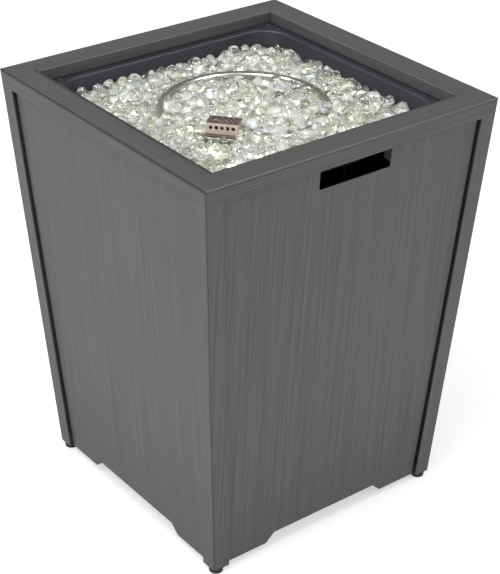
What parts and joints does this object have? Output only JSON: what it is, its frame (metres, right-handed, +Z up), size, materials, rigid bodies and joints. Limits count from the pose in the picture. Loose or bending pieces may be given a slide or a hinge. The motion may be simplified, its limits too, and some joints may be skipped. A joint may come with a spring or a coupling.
{
  "type": "gas fire pit column",
  "caption": "Square tapered column gas fire pit: brushed frame and panels, arched feet openings, tilt-out door with hand slot, round burner in a pan of clear fire glass.",
  "frame": {"origin": "centre of the footprint, on the ground", "axes": "+Z up; the door and its hand slot face -Y"},
  "size_m": [0.5098, 0.5098, 0.657],
  "materials": {
    "frame_finish": "hand-brushed charcoal coat, satin",
    "foot_plastic": "matt black",
    "black_steel": "satin black paint",
    "pan_enamel": "dark blue-black satin coat",
    "burner_steel": "satin stainless",
    "pilot_steel": "heat-tinted stainless",
    "fire_glass": "clear polished beads",
    "brass": "machined",
    "knob_plastic": "satin black",
    "ceramic": "glazed ceramic",
    "zinc_steel": "zinc plated"
  },
  "bodies": {
    "frame": {"air_mixer": "zinc_steel", "base_shelf": "black_steel", "burner_nipple": "brass", "burner_nut": "zinc_steel", "burner_pan": "pan_enamel", "burner_ring": "burner_steel", "control_plate": "black_steel", "control_screws": "zinc_steel", "door_magnets": "black_steel", "door_pivot_brackets": "black_steel", "fire_glass": "fire_glass", "foot_back_left": "foot_plastic", "foot_back_right": "foot_plastic", "foot_front_left": "foot_plastic", "foot_front_right": "foot_plastic", "gas_inlet": "brass", "gas_pipe": "zinc_steel", "gas_valve": "brass", "heat_shield": "zinc_steel", "igniter_electrode": "ceramic", "igniter_module": "knob_plastic", "igniter_nut": "knob_plastic", "pan_screws": "pan_enamel", "panel_back": "frame_finish", "panel_clips_back": "black_steel", "panel_clips_left": "black_steel", "panel_clips_right": "black_steel", "panel_left": "frame_finish", "panel_right": "frame_finish", "pilot_burner": "zinc_steel", "pilot_cage": "pilot_steel", "pilot_plate": "pilot_steel", "post_back_left": "frame_finish", "post_back_right": "frame_finish", "post_front_left": "frame_finish", "post_front_right": "frame_finish", "rim_gusset_back_left": "black_steel", "rim_gusset_back_right": "black_steel", "rim_gusset_front_left": "black_steel", "rim_gusset_front_right": "black_steel", "shelf_bolts": "zinc_steel", "shelf_brackets": "black_steel", "shield_standoffs": "zinc_steel", "tank_collar": "black_steel", "thermocouple": "zinc_steel", "top_rail_back": "frame_finish", "top_rail_front": "frame_finish", "top_rail_left": "frame_finish", "top_rail_right": "frame_finish"},
    "door": {"door_panel": "frame_finish", "door_pivot_pins": "zinc_steel", "door_strikes": "zinc_steel"},
    "valve_push": {"stem_collar": "zinc_steel"},
    "valve_knob": {"valve_knob": "knob_plastic", "valve_stem": "zinc_steel"},
    "igniter_button": {"igniter_button": "knob_plastic"},
    "tank_bolt": {"tank_bolt": "zinc_steel"}
  },
  "joints": [
    {"name": "door_tilt", "type": "hinge", "parent": "frame", "child": "door", "pos_m": [0, -0.20025, 0.0188], "axis": [1, 0, 0], "range_deg": [0, 86]},
    {"name": "knob_push", "type": "slide", "parent": "frame", "child": "valve_push", "axis": [0, 1, 0], "range_m": [0, 0.004], "stiffness_N_per_m": 400, "springref_m": -0.003},
    {"name": "knob_turn", "type": "hinge", "parent": "valve_push", "child": "valve_knob", "pos_m": [0.157, -0.2113, 0.5475], "axis": [0, -1, 0], "range_deg": [0, 200]},
    {"name": "igniter_press", "type": "slide", "parent": "frame", "child": "igniter_button", "axis": [0, 1, 0], "range_m": [0, 0.004], "stiffness_N_per_m": 300, "springref_m": -0.002},
    {"name": "tank_bolt_travel", "type": "slide", "parent": "frame", "child": "tank_bolt", "axis": [0, 1, 0], "range_m": [0, 0.008]}
  ]
}
